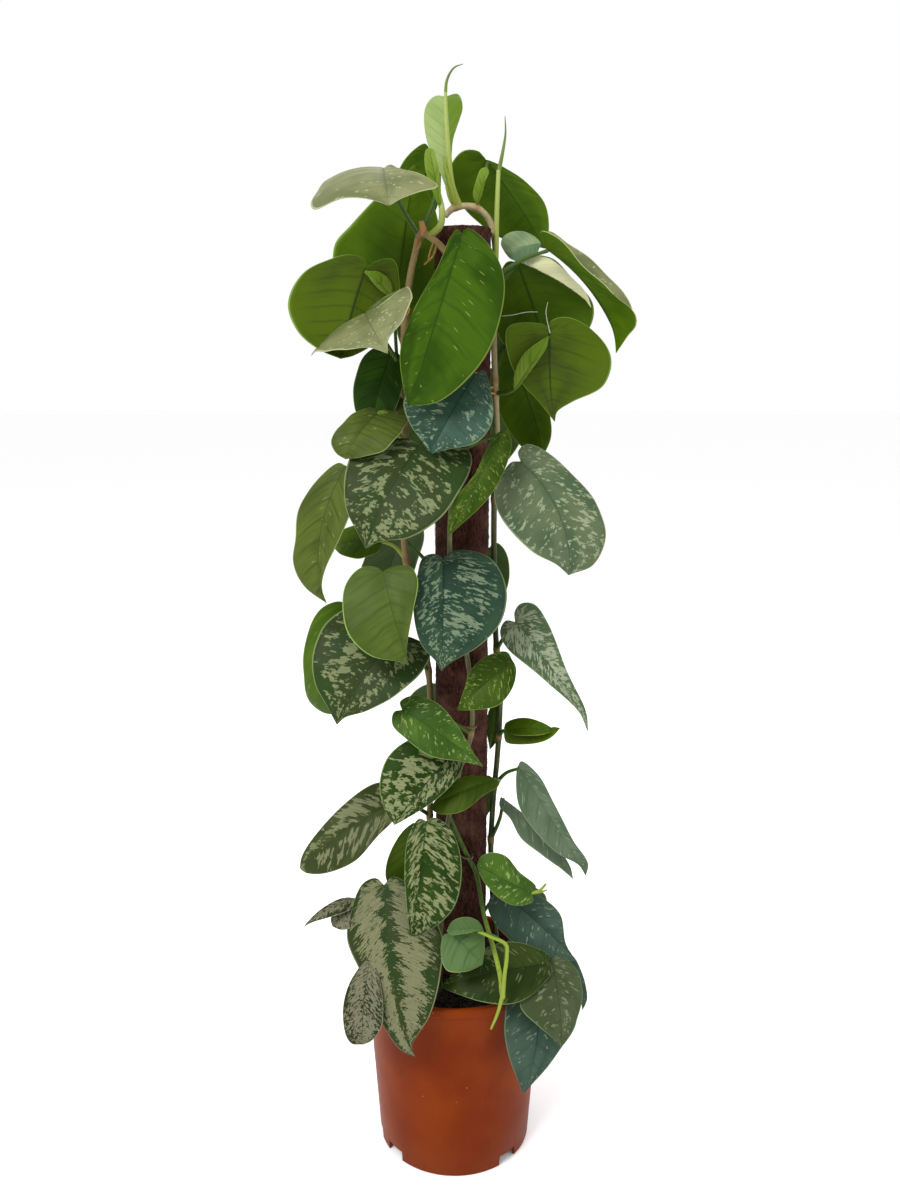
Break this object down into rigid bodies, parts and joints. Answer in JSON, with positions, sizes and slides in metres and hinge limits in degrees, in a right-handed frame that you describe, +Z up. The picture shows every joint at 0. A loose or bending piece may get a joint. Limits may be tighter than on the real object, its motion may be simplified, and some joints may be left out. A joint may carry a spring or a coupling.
{
  "type": "climbing satin pothos in a nursery pot",
  "caption": "Potted satin pothos with silver-splashed heart-shaped leaves, climbing a coir pole in a round terracotta-coloured plastic nursery pot.",
  "frame": {"origin": "centre of the flat pad in the middle of the pot's base, on the surface the pot stands on", "axes": "+Z up along the pole, -Y towards the front of the plant, +X to the viewer's right"},
  "size_m": [0.3162, 0.2399, 1.0573],
  "materials": {
    "pot": "satin moulded plastic",
    "soil": "loose dark bark and peat mix",
    "coir": "rough matted coir fibre",
    "pin": "brown coated wire",
    "leaf": "satin leaf with pale silver splashes",
    "leaf_silver": "satin silver leaf with a dark green rib",
    "leaf_dark": "satin dark teal leaf with small pale flecks"
  },
  "bodies": {
    "root": {"pot": "pot", "soil": "soil", "pole": "coir", "pole_pin_upper": "pin", "pole_pin_lower": "pin", "left_vine": "leaf", "right_vine": "leaf", "front_vine": "leaf", "left_low_spray": "leaf_silver", "right_low_spray": "leaf_dark", "back_left_vine": "leaf", "back_right_vine": "leaf"}
  },
  "joints": []
}
